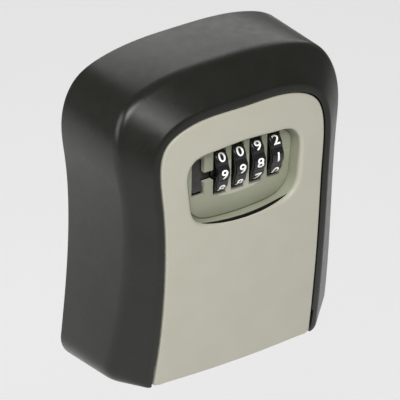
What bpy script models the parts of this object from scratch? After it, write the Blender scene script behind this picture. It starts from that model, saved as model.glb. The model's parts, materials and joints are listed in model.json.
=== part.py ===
"""Wall-mounted key lock box: a cast housing, a door hinged along its bottom edge, and a
four-dial lock behind the door.

Everything is drawn in millimetres from the back plane (y = 0) and the door's bottom edge
(z = 0), with the front facing -Y. One root empty lowers the whole box, so that the world
origin is the middle of the back face, which lies on the wall.
"""
import math

import bmesh
import bpy
import numpy as np

MM = 0.001

# Overall size
TOP_Z = 120.0              # the housing's top
BOTTOM_Z = -1.2            # and its bottom, a little lower than the door's
DRAFT = 0.8                # the side walls lean in by this much from back to crease
WALL = 3.0                 # housing wall
BACK_WALL = 2.5
GAP = 0.3                  # play between pieces that touch
DOOR_GAP = 0.55            # play round the door's edge

# The crowned front: part of a large sphere, deepest a little above the middle
FRONT_DEPTH = 44.5
FRONT_RADIUS = 350.0
FRONT_TOP_Z = 64.0

# The crease where the side wall turns into the front bevel
CREASE_DEPTH = 35.0
CREASE_RADIUS = 215.0
CREASE_LOW_RADIUS = 240.0
CREASE_TOP_Z = 66.0

# Half outlines as (half width, height), from the bottom corner up to the top centre
CREASE_SIDE = [(49.6, 8.6), (47.3, 32.5), (46.3, 55.0), (47.9, 82.0),
               (49.2, 98.5), (43.9, 110.8), (32.8, 116.3), (0.0, TOP_Z - DRAFT)]
RIM_SIDE = [(38.4, 2.0), (37.8, 20.0), (37.5, 48.0), (38.7, 77.0),
            (39.1, 90.0), (35.6, 100.1), (27.3, 106.1), (0.0, 109.0)]
DOOR_SIDE = [(35.1, 1.0), (34.4, 20.0), (34.2, 45.0), (35.3, 75.0),
             (36.1, 87.0), (33.5, 97.6), (25.5, 102.7), (0.0, 104.9)]
CREASE_CORNER = CREASE_SIDE[0][1] - BOTTOM_Z - DRAFT       # bottom corner radii
RIM_CORNER = 2.4
DOOR_CORNER = 1.0
CHEEK_X = 36.0             # inner faces of the cheeks that hold the hinge pin
CHEEK_BOSS_X = 40.4        # outer ends of the bosses round the pin

# Door shell
DOOR_WALL = 2.5
DOOR_BACK_Y = -33.5
HOLLOW_CORNER = 4.0        # bottom corners of the hollow behind the door's skin
PIN_Y = -31.0
PIN_Z = 5.0
PIN_RADIUS = 1.5
PIN_HALF_LENGTH = 39.5
HEEL_RADIUS = 4.7
HEEL_HALF_WIDTH = 33.2
HEEL_SWEEP = 5.8           # room behind the pin for the door's bottom edge as it swings open

# Window: a pocket in the door with a flat floor, in which the dials and the lever show
WINDOW = [(0.0, 61.9), (9.0, 62.3), (15.5, 63.1), (20.5, 65.1), (23.2, 68.5), (24.2, 74.0),
          (24.9, 81.0), (24.3, 86.3), (21.6, 89.6), (14.5, 91.2), (0.0, 92.0)]
FLOOR_Y = -38.7
FLOOR_THICKNESS = 2.0
TRAY_RIM = 2.0

# Dials
DIAL_COUNT = 4
DIAL_PITCH = 8.0
DIAL_MID_X = 3.6
DIAL_RADIUS = 10.7
DIAL_WIDTH = 5.0
DIAL_BORE = 4.3
DIAL_Y = -31.4
DIAL_Z = 80.4
DIGITS = 10
SCALLOP_DEPTH = 0.5
SLOT_WIDTH = 5.6
SLOT_HALF_HEIGHT = 9.3

# Hubs on the dial shaft
SHAFT_RADIUS = 1.9
SHAFT_HALF_LENGTH = 28.4
HUB_RADIUS = 4.0
HUB_BORE = 2.3
FLANGE_RADIUS = 4.95
FLANGE_WIDTH = 1.4
GATE_WIDTH = 2.4
GATE_DEPTH = 1.2
HUB_SHIFT = 1.0            # the hubs' way to the left while the code is being changed

# Release lever and bolt
LEVER_X = -17.9
LEVER_WIDTH = 4.6
LEVER_SLOT_WIDTH = 5.6
LEVER_SLOT_BOTTOM = 73.0
LEVER_SLOT_TOP = 88.0
LEVER_BOTTOM = 74.8
LEVER_TRAVEL = 1.5
NOTCH_BOTTOM = 77.8
NOTCH_TOP = 81.8
BOLT_BAR_BOTTOM = 93.4
BOLT_BAR_THICKNESS = 1.8
BOLT_TIP = 104.6
TOOTH_HALF = 0.9           # half the teeth's width, a little narrower than the gates
TONGUE_HALF = 9.0          # half the width of the bolt's tongue
TONGUE_THICKNESS = 2.0
TONGUE_SLOT_BOTTOM = 98.0
CATCH_DEPTH = 1.7          # the lever's flat face lies this far below the window's floor
LEVER_THICKNESS = 2.6
ARM_THICKNESS = 0.7        # thin enough to pass in front of the first hub

# Lock case, screwed to the back of the door
CASE_WALL = 1.5
CASE_HALF_WIDTH = 26.8
CASE_BOTTOM = 58.5
CASE_TOP = 98.6
CASE_FRONT_Y = -36.4
CASE_BACK_Y = -18.2
LEDGE_TOP = 85.4           # shelf inside the case that the bolt spring stands on
CASE_SCREWS = [(-21.0, 62.6), (21.0, 62.6), (-23.1, 95.0), (23.1, 95.0)]
BOSS_RADIUS = 1.9
BOSS_FRONT_Y = -39.8       # inside the door's wall, where the bosses grow out of it
SCREW_RADIUS = 1.0
SCREW_HEAD_RADIUS = 2.3
SCREW_HEAD_HEIGHT = 1.2

# Reset wedge
RESET_TRAVEL = 3.0
WEDGE_RIGHT = 25.0
WEDGE_BOTTOM = 67.0
WEDGE_TOP = 79.0
WEDGE_FRONT_Y = DIAL_Y + SHAFT_RADIUS + GAP
TAB_LEFT = 22.8            # finger tab on the wedge, reached from inside the open door
TAB_WIDTH = 2.0
TAB_HEIGHT = 4.0

# Holes in the back wall for the wall screws, as (x, z)
WALL_HOLES = [(-27.0, 22.0), (27.0, 22.0), (-27.0, 100.0), (27.0, 100.0)]
WALL_HOLE_RADIUS = 2.1

COLOURS = {
    "housing": ((0.035, 0.034, 0.032, 1.0), 0.45, 0.3),
    "door": ((0.45, 0.44, 0.37, 1.0), 0.5, 0.1),
    "dial": ((0.012, 0.012, 0.012, 1.0), 0.25, 0.0),
    "zinc": ((0.42, 0.42, 0.41, 1.0), 0.45, 0.9),
    "brass": ((0.60, 0.42, 0.18, 1.0), 0.35, 1.0),
    "steel": ((0.50, 0.50, 0.50, 1.0), 0.3, 1.0),
    "black_plastic": ((0.02, 0.02, 0.022, 1.0), 0.4, 0.0),
}


# ---------------------------------------------------------------- curves and surfaces

def front_depth(x, z):
    """Depth of the crowned front at (x, z)."""
    return FRONT_DEPTH - (x * x + (z - FRONT_TOP_Z) ** 2) / (2 * FRONT_RADIUS)


def crease_depth(z):
    """Depth of the crease at height z; it bows less below its foremost point than above."""
    radius = CREASE_RADIUS if z > CREASE_TOP_Z else CREASE_LOW_RADIUS
    return CREASE_DEPTH - (z - CREASE_TOP_Z) ** 2 / (2 * radius)


def smooth_curve(points, steps):
    """Natural cubic spline through the points, with `steps` samples in each span."""
    pts = np.array(points, dtype=float)
    t = np.concatenate([[0.0], np.cumsum(np.linalg.norm(np.diff(pts, axis=0), axis=1))])
    h = np.diff(t)
    count = len(pts)
    matrix = np.eye(count)
    rhs = np.zeros((count, 2))
    for i in range(1, count - 1):
        matrix[i, i - 1:i + 2] = h[i - 1], 2 * (h[i - 1] + h[i]), h[i]
        rhs[i] = 6 * ((pts[i + 1] - pts[i]) / h[i] - (pts[i] - pts[i - 1]) / h[i - 1])
    bend = np.linalg.solve(matrix, rhs)
    curve = []
    for i in range(count - 1):
        for step in range(steps):
            b = step / steps
            a = 1.0 - b
            point = a * pts[i] + b * pts[i + 1]
            point = point + ((a ** 3 - a) * bend[i] + (b ** 3 - b) * bend[i + 1]) * h[i] ** 2 / 6
            curve.append(tuple(point))
    curve.append(tuple(pts[-1]))
    return curve


def face_outline(side, corner, steps=4, corner_steps=3, bottom_steps=8):
    """Closed outline, counter-clockwise from the right foot: smooth sides, flat bottom."""
    mirrored = [(-x, z) for x, z in reversed(side[:-1])]
    curve = smooth_curve(side + mirrored, steps)
    foot_x, foot_z = side[0]
    reach = foot_x - corner
    turns = [0.5 * math.pi * i / corner_steps for i in range(1, corner_steps + 1)]
    arc = [(reach + corner * math.cos(turn), foot_z - corner * math.sin(turn)) for turn in turns]
    curve += [(-x, z) for x, z in arc]
    curve += [(-reach + 2 * reach * i / bottom_steps, foot_z - corner)
              for i in range(1, bottom_steps)]
    curve += reversed(arc)
    return curve


def window_outline(steps=3):
    """Closed outline of the window, from its bottom centre round to the right."""
    mirrored = [(-x, z) for x, z in reversed(WINDOW[:-1])]
    return smooth_curve(WINDOW + mirrored, steps)[:-1]


def offset_outline(outline, distance):
    """The closed outline moved outwards by `distance` (inwards when negative)."""
    moved = []
    count = len(outline)
    for i, (x, z) in enumerate(outline):
        before = outline[i - 1]
        after = outline[(i + 1) % count]
        dx = after[0] - before[0]
        dz = after[1] - before[1]
        length = math.hypot(dx, dz)
        moved.append((x + distance * dz / length, z - distance * dx / length))
    return moved


# ---------------------------------------------------------------- mesh helpers

def new_object(name, bm, colour):
    """Closed mesh object from a bmesh in millimetres, faces turned outwards."""
    bmesh.ops.remove_doubles(bm, verts=bm.verts, dist=0.001)
    bmesh.ops.recalc_face_normals(bm, faces=bm.faces)
    bmesh.ops.scale(bm, vec=(MM, MM, MM), verts=bm.verts)
    mesh = bpy.data.meshes.new(name)
    bm.to_mesh(mesh)
    bm.free()
    obj = bpy.data.objects.new(name, mesh)
    bpy.context.scene.collection.objects.link(obj)
    obj.data.materials.append(make_material(name, colour))
    return obj


def make_material(name, colour):
    """Principled material in one of the named colours."""
    base, roughness, metallic = COLOURS[colour]
    material = bpy.data.materials.new(name)
    material.use_nodes = True
    shader = material.node_tree.nodes["Principled BSDF"]
    shader.inputs["Base Color"].default_value = base
    shader.inputs["Roughness"].default_value = roughness
    shader.inputs["Metallic"].default_value = metallic
    return material


def add_loft(bm, rings):
    """Skin over closed rings of equal length, capped flat at both ends."""
    loops = [[bm.verts.new(point) for point in ring] for ring in rings]
    for first, second in zip(loops, loops[1:]):
        for i in range(len(first)):
            j = (i + 1) % len(first)
            bm.faces.new((first[i], first[j], second[j], second[i]))
    bm.faces.new(loops[0])
    bm.faces.new(reversed(loops[-1]))


def add_crown(bm, outline, back, depth, rings=5):
    """Solid with the outline's sides, a flat back at y = back and a front at y = -depth(x, z)."""
    centre = (0.0, sum(z for _, z in outline) / len(outline))
    sections = [[(x, back, z) for x, z in outline]]
    for ring in range(rings + 1):
        scale = max(1.0 - ring / rings, 0.02)
        flat = [(centre[0] + (x - centre[0]) * scale, centre[1] + (z - centre[1]) * scale)
                for x, z in outline]
        sections.append([(x, -depth(x, z), z) for x, z in flat])
    add_loft(bm, sections)


def add_prism(bm, outline, start, end):
    """The (x, z) outline extruded along Y from start to end."""
    add_loft(bm, [[(x, start, z) for x, z in outline], [(x, end, z) for x, z in outline]])


def add_side_prism(bm, outline, start, end):
    """The (y, z) outline extruded along X from start to end."""
    add_loft(bm, [[(start, y, z) for y, z in outline], [(end, y, z) for y, z in outline]])


def box_outline(left, right, bottom, top):
    """Corners of an upright rectangle."""
    return [(left, bottom), (right, bottom), (right, top), (left, top)]


def circle(centre, radius, segments=24):
    """Points of a circle round a centre."""
    turn = 2 * math.pi / segments
    return [(centre[0] + radius * math.cos(turn * i), centre[1] + radius * math.sin(turn * i))
            for i in range(segments)]


def shape(name, colour, adder, *args):
    """Object made by one of the add_ functions."""
    bm = bmesh.new()
    adder(bm, *args)
    return new_object(name, bm, colour)


def weld(mesh):
    """Close up the hair-thin slivers that a cut can leave."""
    bm = bmesh.new()
    bm.from_mesh(mesh)
    bmesh.ops.remove_doubles(bm, verts=bm.verts, dist=0.02 * MM)
    bmesh.ops.dissolve_degenerate(bm, edges=bm.edges, dist=0.005 * MM)
    bm.to_mesh(mesh)
    bm.free()


def combine(target, tools, operation):
    """Boolean each tool into the target, keep the result and remove the tools."""
    for tool in tools:
        modifier = target.modifiers.new(operation, "BOOLEAN")
        modifier.operation = operation
        modifier.solver = "EXACT"
        modifier.object = tool
    bpy.context.view_layer.update()
    graph = bpy.context.evaluated_depsgraph_get()
    mesh = bpy.data.meshes.new_from_object(target.evaluated_get(graph))
    target.modifiers.clear()
    target.data = mesh
    weld(mesh)
    for tool in tools:
        bpy.data.objects.remove(tool)
    return target


def cut(target, *tools):
    """Take the tools away from the target."""
    return combine(target, tools, "DIFFERENCE")


def join(target, *tools):
    """Fuse the tools to the target."""
    return combine(target, tools, "UNION")


def y_block(left, right, bottom, top, start, end):
    """Loose box tool, by its sides, its bottom and top and its two Y planes."""
    return shape("tool", "steel", add_prism, box_outline(left, right, bottom, top), start, end)


def y_cylinder(centre, radius, start, end):
    """Loose cylinder tool along Y."""
    return shape("tool", "steel", add_prism, circle(centre, radius), start, end)


def x_cylinder(centre, radius, start, end):
    """Loose cylinder tool along X, round the (y, z) centre."""
    return shape("tool", "steel", add_side_prism, circle(centre, radius), start, end)


def shade_round(obj, degrees=35.0):
    """Smooth shading across the shallow edges."""
    obj.data.shade_smooth()
    obj.data.set_sharp_from_angle(angle=math.radians(degrees))


# ---------------------------------------------------------------- frame of axes

def add_axis(name, point, parent=None):
    """Empty at a point in drawing millimetres."""
    empty = bpy.data.objects.new(name, None)
    empty.empty_display_size = 0.01
    bpy.context.scene.collection.objects.link(empty)
    empty["point"] = point
    if parent is not None:
        empty.parent = parent
        empty.location = [(a - b) * MM for a, b in zip(point, parent["point"])]
    return empty


def hang(obj, axis):
    """Parent an object drawn in place to an axis, with its own origin on that axis."""
    point = axis["point"]
    for vertex in obj.data.vertices:
        vertex.co = [c - p * MM for c, p in zip(vertex.co, point)]
    obj.parent = axis


# ---------------------------------------------------------------- housing and hinge

def build_housing():
    """Cast shell: back wall, leaning sides, bevel up to the rim, land round the door."""
    crease = face_outline(CREASE_SIDE, CREASE_CORNER)
    rim = face_outline(RIM_SIDE, RIM_CORNER)
    opening = offset_outline(face_outline(DOOR_SIDE, DOOR_CORNER), DOOR_GAP)
    lip = [(x, max(z, WALL)) for x, z in opening]
    back = offset_outline(crease, DRAFT)
    inner = offset_outline(crease, -WALL)
    rings = [
        [(x, 0.0, z) for x, z in back],
        [(x, -crease_depth(z), z) for x, z in crease],
        [(x, -front_depth(x, z), z) for x, z in rim],
        [(x, -front_depth(x, z), z) for x, z in lip],
        [(x, WALL - front_depth(x, z), z) for x, z in lip],
        [(x, 2.0 - crease_depth(z), z) for x, z in inner],
        [(x, -BACK_WALL, z) for x, z in inner],
    ]
    housing = shape("housing", "housing", add_loft, rings)
    for sign in (-1, 1):
        near, far = sorted((sign * (CHEEK_X - 0.2), sign * CHEEK_BOSS_X))
        join(housing, y_block(near, far, PIN_Z - 3.3, PIN_Z + 4.4, PIN_Y - 2.2, PIN_Y + 4.8))
    cut(housing, y_block(-CHEEK_X, CHEEK_X, BOTTOM_Z - 1.0, PIN_Z + HEEL_RADIUS, -60.0,
                         PIN_Y + HEEL_SWEEP))
    pin_reach = PIN_HALF_LENGTH + GAP
    cut(housing, x_cylinder((PIN_Y, PIN_Z), PIN_RADIUS + GAP, -pin_reach, pin_reach))
    cut(housing, *[y_cylinder(hole, WALL_HOLE_RADIUS, -10.0, 5.0) for hole in WALL_HOLES])
    shade_round(housing)
    return housing


def build_hinge_pin():
    """Steel pin through the door's heel into both cheeks of the housing."""
    pin = shape("hinge_pin", "steel", add_side_prism, circle((PIN_Y, PIN_Z), PIN_RADIUS, 16),
                -PIN_HALF_LENGTH, PIN_HALF_LENGTH)
    shade_round(pin)
    return pin


# ---------------------------------------------------------------- door

def dial_positions():
    """The four dials' x, from left to right."""
    middle = (DIAL_COUNT - 1) / 2
    return [DIAL_MID_X + (i - middle) * DIAL_PITCH for i in range(DIAL_COUNT)]


def build_door():
    """Crowned shell with a rolled heel, the window pocket, its slots and the screw bosses."""
    outline = face_outline(DOOR_SIDE, DOOR_CORNER)
    window = window_outline()
    door = shape("door_panel", "door", add_crown, outline, DOOR_BACK_Y, front_depth)
    roomy_side = [(DOOR_SIDE[0][0], HOLLOW_CORNER)] + DOOR_SIDE[1:]
    inner = offset_outline(face_outline(roomy_side, HOLLOW_CORNER), -DOOR_WALL)
    cut(door, shape("tool", "door", add_crown, inner, DOOR_BACK_Y + 10.0,
                    lambda x, z: front_depth(x, z) - DOOR_WALL))
    tray = offset_outline(window, TRAY_RIM)
    join(door, shape("tool", "door", add_prism, tray, -42.0, FLOOR_Y + FLOOR_THICKNESS))
    heel = x_cylinder((PIN_Y, PIN_Z), HEEL_RADIUS, -HEEL_HALF_WIDTH, HEEL_HALF_WIDTH)
    web = y_block(-HEEL_HALF_WIDTH, HEEL_HALF_WIDTH, PIN_Z - HEEL_RADIUS, PIN_Z + HEEL_RADIUS,
                  -37.4, PIN_Y)
    join(door, heel, web)
    bosses = [y_cylinder(centre, BOSS_RADIUS, BOSS_FRONT_Y, CASE_BACK_Y - CASE_WALL - GAP)
              for centre in CASE_SCREWS]
    join(door, *bosses)
    cut(door, shape("tool", "door", add_prism, window, -60.0, FLOOR_Y))
    floor_back = FLOOR_Y + FLOOR_THICKNESS + 1.0
    slots = [y_block(x - SLOT_WIDTH / 2, x + SLOT_WIDTH / 2, DIAL_Z - SLOT_HALF_HEIGHT,
                     DIAL_Z + SLOT_HALF_HEIGHT, FLOOR_Y - 1.0, floor_back)
             for x in dial_positions()]
    left = LEVER_X - LEVER_SLOT_WIDTH / 2
    right = LEVER_X + LEVER_SLOT_WIDTH / 2
    slots.append(y_block(left, right, LEVER_SLOT_BOTTOM, LEVER_SLOT_TOP, FLOOR_Y - 1.0,
                         floor_back))
    slots.append(y_block(right - 0.5, dial_positions()[0] - SLOT_WIDTH / 2 + 0.5, NOTCH_BOTTOM,
                         NOTCH_TOP, FLOOR_Y - 1.0, floor_back))
    cut(door, *slots)
    cut(door, *[y_cylinder(centre, SCREW_RADIUS + GAP, -31.0, -10.0) for centre in CASE_SCREWS])
    cut(door, x_cylinder((PIN_Y, PIN_Z), PIN_RADIUS + GAP, -40.0, 40.0))
    tongue = TONGUE_HALF + GAP
    cut(door, y_block(-tongue, tongue, TONGUE_SLOT_BOTTOM, 110.0, CASE_FRONT_Y - GAP, -30.0))
    shade_round(door)
    return door


def build_lock_case():
    """Open-fronted tray behind the dials, with bearing holes for the shaft."""
    case = y_block(-CASE_HALF_WIDTH, CASE_HALF_WIDTH, CASE_BOTTOM, CASE_TOP, CASE_FRONT_Y,
                   CASE_BACK_Y)
    case.name = "lock_case"
    case.data.materials[0] = make_material("lock_case", "zinc")
    inside = CASE_HALF_WIDTH - CASE_WALL
    cut(case, y_block(-inside, inside, CASE_BOTTOM + CASE_WALL, CASE_TOP - CASE_WALL, -50.0,
                      CASE_BACK_Y - CASE_WALL))
    ledge = y_block(-inside - 0.5, LEVER_X + 2.4, LEDGE_TOP - 1.3, LEDGE_TOP, -32.5,
                    CASE_BACK_Y - 1.0)
    join(case, ledge)
    cut(case, x_cylinder((DIAL_Y, DIAL_Z), SHAFT_RADIUS + GAP, -40.0, 40.0))
    cut(case, *[y_cylinder(centre, SCREW_RADIUS + GAP, -25.0, -10.0) for centre in CASE_SCREWS])
    tongue = TONGUE_HALF + GAP
    cut(case, y_block(-tongue, tongue, CASE_TOP - 5.0, CASE_TOP + 5.0, -50.0, -33.5))
    cut(case, y_block(TAB_LEFT - GAP, TAB_LEFT + TAB_WIDTH + 0.4, WEDGE_BOTTOM - GAP,
                      WEDGE_BOTTOM + TAB_HEIGHT + RESET_TRAVEL + GAP, -22.0, -10.0))
    return case


def build_case_screw(index, centre):
    """Pan-head screw from the back of the case into a boss on the door."""
    head_front = CASE_BACK_Y + GAP
    screw = shape("case_screw_%d" % index, "steel", add_prism, circle(centre, SCREW_HEAD_RADIUS, 16),
                  head_front, head_front + SCREW_HEAD_HEIGHT)
    shank = shape("tool", "steel", add_prism, circle(centre, SCREW_RADIUS, 12), -30.0,
                  head_front + 0.5)
    join(screw, shank)
    x, z = centre
    for wide, tall in ((1.4, 0.25), (0.25, 1.4)):
        cut(screw, y_block(x - wide, x + wide, z - tall, z + tall,
                           head_front + SCREW_HEAD_HEIGHT - 0.6, 0.0))
    return screw


# ---------------------------------------------------------------- dials and hubs

def dial_outline():
    """Ten crests with a shallow scallop between each two, as (y, z)."""
    samples = 5
    count = DIGITS * samples
    points = []
    for i in range(count):
        angle = 2 * math.pi * i / count
        dip = 0.5 - 0.5 * math.cos(DIGITS * angle)
        radius = DIAL_RADIUS - SCALLOP_DEPTH * dip ** 3
        points.append((DIAL_Y - radius * math.cos(angle), DIAL_Z + radius * math.sin(angle)))
    return points


def build_dial(index, x):
    """Scalloped wheel with a plain bore."""
    half = DIAL_WIDTH / 2
    dial = shape("dial_%d" % index, "dial", add_side_prism, dial_outline(), x - half, x + half)
    cut(dial, x_cylinder((DIAL_Y, DIAL_Z), DIAL_BORE, x - 10.0, x + 10.0))
    shade_round(dial, 25.0)
    return dial


def build_hub(index, x):
    """Sleeve inside a dial, with a flange whose gate stands up when its digit is right."""
    flange_start = x + DIAL_WIDTH / 2 + GAP + HUB_SHIFT
    centre = (DIAL_Y, DIAL_Z)
    hub = shape("dial_hub_%d" % index, "brass", add_side_prism, circle(centre, HUB_RADIUS),
                x - DIAL_WIDTH / 2, flange_start + 0.5)
    join(hub, shape("tool", "brass", add_side_prism, circle(centre, FLANGE_RADIUS, 32),
                    flange_start, flange_start + FLANGE_WIDTH))
    cut(hub, x_cylinder(centre, HUB_BORE, x - 10.0, x + 10.0))
    gate_floor = DIAL_Z + FLANGE_RADIUS - GATE_DEPTH
    cut(hub, shape("tool", "brass", add_prism,
                   box_outline(x, x + 10.0, gate_floor, gate_floor + 10.0),
                   DIAL_Y - GATE_WIDTH / 2, DIAL_Y + GATE_WIDTH / 2))
    shade_round(hub)
    return hub


def build_shaft():
    """Steel rod that the hubs turn on, through both side walls of the case."""
    shaft = shape("dial_shaft", "steel", add_side_prism,
                  circle((DIAL_Y, DIAL_Z), SHAFT_RADIUS, 20), -SHAFT_HALF_LENGTH,
                  SHAFT_HALF_LENGTH)
    shade_round(shaft)
    return shaft


def build_shaft_clip(index, side):
    """Snap ring on one end of the shaft, outside the case, open at the bottom."""
    start, end = sorted((side * (CASE_HALF_WIDTH + GAP), side * (CASE_HALF_WIDTH + GAP + 0.7)))
    centre = (DIAL_Y, DIAL_Z)
    clip = shape("shaft_clip_%d" % index, "steel", add_side_prism, circle(centre, 3.7, 20),
                 start, end)
    cut(clip, x_cylinder(centre, SHAFT_RADIUS + GAP, start - 1.0, end + 1.0))
    cut(clip, y_block(start - 1.0, end + 1.0, DIAL_Z - 6.0, DIAL_Z - 1.0, DIAL_Y - 1.4,
                      DIAL_Y + 1.4))
    return clip


# ---------------------------------------------------------------- springs

def coil(name, start, direction, length, radius, wire, turns):
    """Round-wire compression spring as one closed tube, from start along X or Z."""
    per_turn = 10
    sides = 6
    count = int(turns * per_turn)
    along = length - 2 * wire
    rings = []
    for i in range(count + 1):
        angle = 2 * math.pi * i / per_turn
        centre = wire + along * i / count
        ring = []
        for k in range(sides):
            around = 2 * math.pi * k / sides
            out = radius + wire * math.cos(around)
            offset = (centre + wire * math.sin(around), out * math.cos(angle),
                      out * math.sin(angle))
            if direction == "X":
                ring.append(tuple(a + b for a, b in zip(start, offset)))
            else:
                ring.append((start[0] + offset[1], start[1] + offset[2], start[2] + offset[0]))
        rings.append(ring)
    spring = shape(name, "steel", add_loft, rings)
    shade_round(spring, 60.0)
    return spring


def build_hub_spring():
    """Coil round the shaft that pushes the hubs to the right."""
    start = -CASE_HALF_WIDTH + CASE_WALL + GAP
    end = dial_positions()[0] - DIAL_WIDTH / 2 - GAP
    return coil("hub_spring", (start, DIAL_Y, DIAL_Z), "X", end - start, 2.65, 0.3, 6)


def build_bolt_spring():
    """Coil between the case's ledge and the bolt bar that pushes the bolt up."""
    bottom = LEDGE_TOP + GAP
    return coil("bolt_spring", (LEVER_X, -29.5, bottom), "Z", BOLT_BAR_BOTTOM - GAP - bottom,
                1.7, 0.25, 5)


def build_detent_spring():
    """Flat steel comb on the case floor, one finger behind each dial."""
    back = CASE_BACK_Y - CASE_WALL - GAP
    dials = dial_positions()
    comb = y_block(dials[0] - 2.0, dials[-1] + 2.0, 66.5, 70.0, back - 0.4, back)
    comb.name = "detent_spring"
    comb.data.materials[0] = make_material("detent_spring", "steel")
    join(comb, *[y_block(x - 1.5, x + 1.5, 69.0, 82.5, back - 0.4, back) for x in dials])
    return comb


# ---------------------------------------------------------------- bolt, lever, reset

def build_bolt_plate():
    """Bar above the dials with one tooth over each hub flange and a tongue at the top."""
    bar_top = BOLT_BAR_BOTTOM + BOLT_BAR_THICKNESS
    flange = DIAL_WIDTH / 2 + GAP + HUB_SHIFT
    bar_right = dial_positions()[-1] + flange + FLANGE_WIDTH
    plate = y_block(-20.3, bar_right, BOLT_BAR_BOTTOM, bar_top, CASE_FRONT_Y, -26.5)
    plate.name = "bolt_plate"
    plate.data.materials[0] = make_material("bolt_plate", "zinc")
    join(plate, y_block(-TONGUE_HALF, TONGUE_HALF, bar_top - 0.5, BOLT_TIP, CASE_FRONT_Y,
                        CASE_FRONT_Y + TONGUE_THICKNESS))
    tooth_bottom = DIAL_Z + FLANGE_RADIUS + GAP + LEVER_TRAVEL
    join(plate, *[y_block(x + flange, x + flange + FLANGE_WIDTH, tooth_bottom,
                          BOLT_BAR_BOTTOM + 0.5, DIAL_Y - TOOTH_HALF, DIAL_Y + TOOTH_HALF)
                  for x in dial_positions()])
    return plate


def build_release_lever():
    """Slider in the slot left of the dials: sloped thumb catch, arm to the right."""
    face = FLOOR_Y + CATCH_DEPTH
    rear = face + LEVER_THICKNESS
    behind = CASE_FRONT_Y
    profile = [(rear, LEVER_BOTTOM), (rear, BOLT_BAR_BOTTOM - GAP),
               (behind, BOLT_BAR_BOTTOM - GAP), (behind, LEVER_SLOT_TOP - GAP),
               (face, LEVER_SLOT_TOP - GAP), (face, LEVER_BOTTOM + 4.0),
               (FLOOR_Y + 0.1, LEVER_BOTTOM + 0.4), (FLOOR_Y + 0.1, LEVER_BOTTOM)]
    half = LEVER_WIDTH / 2
    lever = shape("release_lever", "black_plastic", add_side_prism, profile, LEVER_X - half,
                  LEVER_X + half)
    join(lever, y_block(LEVER_X, dial_positions()[0] - DIAL_WIDTH / 2 - GAP, NOTCH_BOTTOM + 0.1,
                        NOTCH_TOP - 0.1, behind, behind + ARM_THICKNESS))
    return lever


def build_reset_lever():
    """Wedge beside the last hub; sliding it up pushes the hubs left by a third of its way."""
    slope = HUB_SHIFT / RESET_TRAVEL
    flange_face = dial_positions()[-1] + DIAL_WIDTH / 2 + GAP + HUB_SHIFT + FLANGE_WIDTH
    reach = WEDGE_FRONT_Y - DIAL_Y
    touch_z = DIAL_Z - math.sqrt(FLANGE_RADIUS ** 2 - reach ** 2)

    def wedge_x(z):
        return flange_face + GAP + (z - touch_z) * slope

    outline = [(wedge_x(WEDGE_BOTTOM), WEDGE_BOTTOM), (WEDGE_RIGHT, WEDGE_BOTTOM),
               (WEDGE_RIGHT, WEDGE_TOP), (wedge_x(WEDGE_TOP), WEDGE_TOP)]
    wedge = shape("reset_lever", "steel", add_prism, outline, WEDGE_FRONT_Y, -22.0)
    join(wedge, y_block(TAB_LEFT, TAB_LEFT + TAB_WIDTH, WEDGE_BOTTOM, WEDGE_BOTTOM + TAB_HEIGHT,
                        -22.5, -15.8))
    return wedge


# ---------------------------------------------------------------- assembly

def main():
    for obj in list(bpy.data.objects):
        bpy.data.objects.remove(obj)

    root = add_axis("box_root", (0.0, 0.0, 0.0))
    root.location = (0.0, 0.0, -(TOP_Z + BOTTOM_Z) / 2 * MM)
    for piece in (build_housing(), build_hinge_pin()):
        hang(piece, root)

    door_axis = add_axis("door_axis", (0.0, PIN_Y, PIN_Z), root)
    door_pieces = [build_door(), build_lock_case(), build_shaft(), build_shaft_clip(1, -1),
                   build_shaft_clip(2, 1), build_hub_spring(), build_bolt_spring(),
                   build_detent_spring()]
    door_pieces += [build_case_screw(i + 1, centre) for i, centre in enumerate(CASE_SCREWS)]
    for piece in door_pieces:
        hang(piece, door_axis)

    for i, x in enumerate(dial_positions()):
        dial_axis = add_axis("dial_axis_%d" % (i + 1), (x, DIAL_Y, DIAL_Z), door_axis)
        hang(build_dial(i + 1, x), dial_axis)
        hang(build_hub(i + 1, x), dial_axis)

    bolt_axis = add_axis("bolt_axis", (0.0, CASE_FRONT_Y, BOLT_BAR_BOTTOM), door_axis)
    hang(build_bolt_plate(), bolt_axis)
    hang(build_release_lever(), bolt_axis)
    reset_axis = add_axis("reset_axis", (WEDGE_RIGHT, DIAL_Y, WEDGE_BOTTOM), door_axis)
    hang(build_reset_lever(), reset_axis)


main()
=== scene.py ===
"""Looks of the wall-mounted key lock box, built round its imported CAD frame.

Shapes are drawn in millimetres from the back plane (y = 0) and the door's bottom edge
(z = 0), with the front facing -Y, and are moved into the frame's metres when their mesh is
made.
"""
import json
import math

import bmesh
import bpy
import numpy as np
from mathutils import Matrix, Vector


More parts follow.
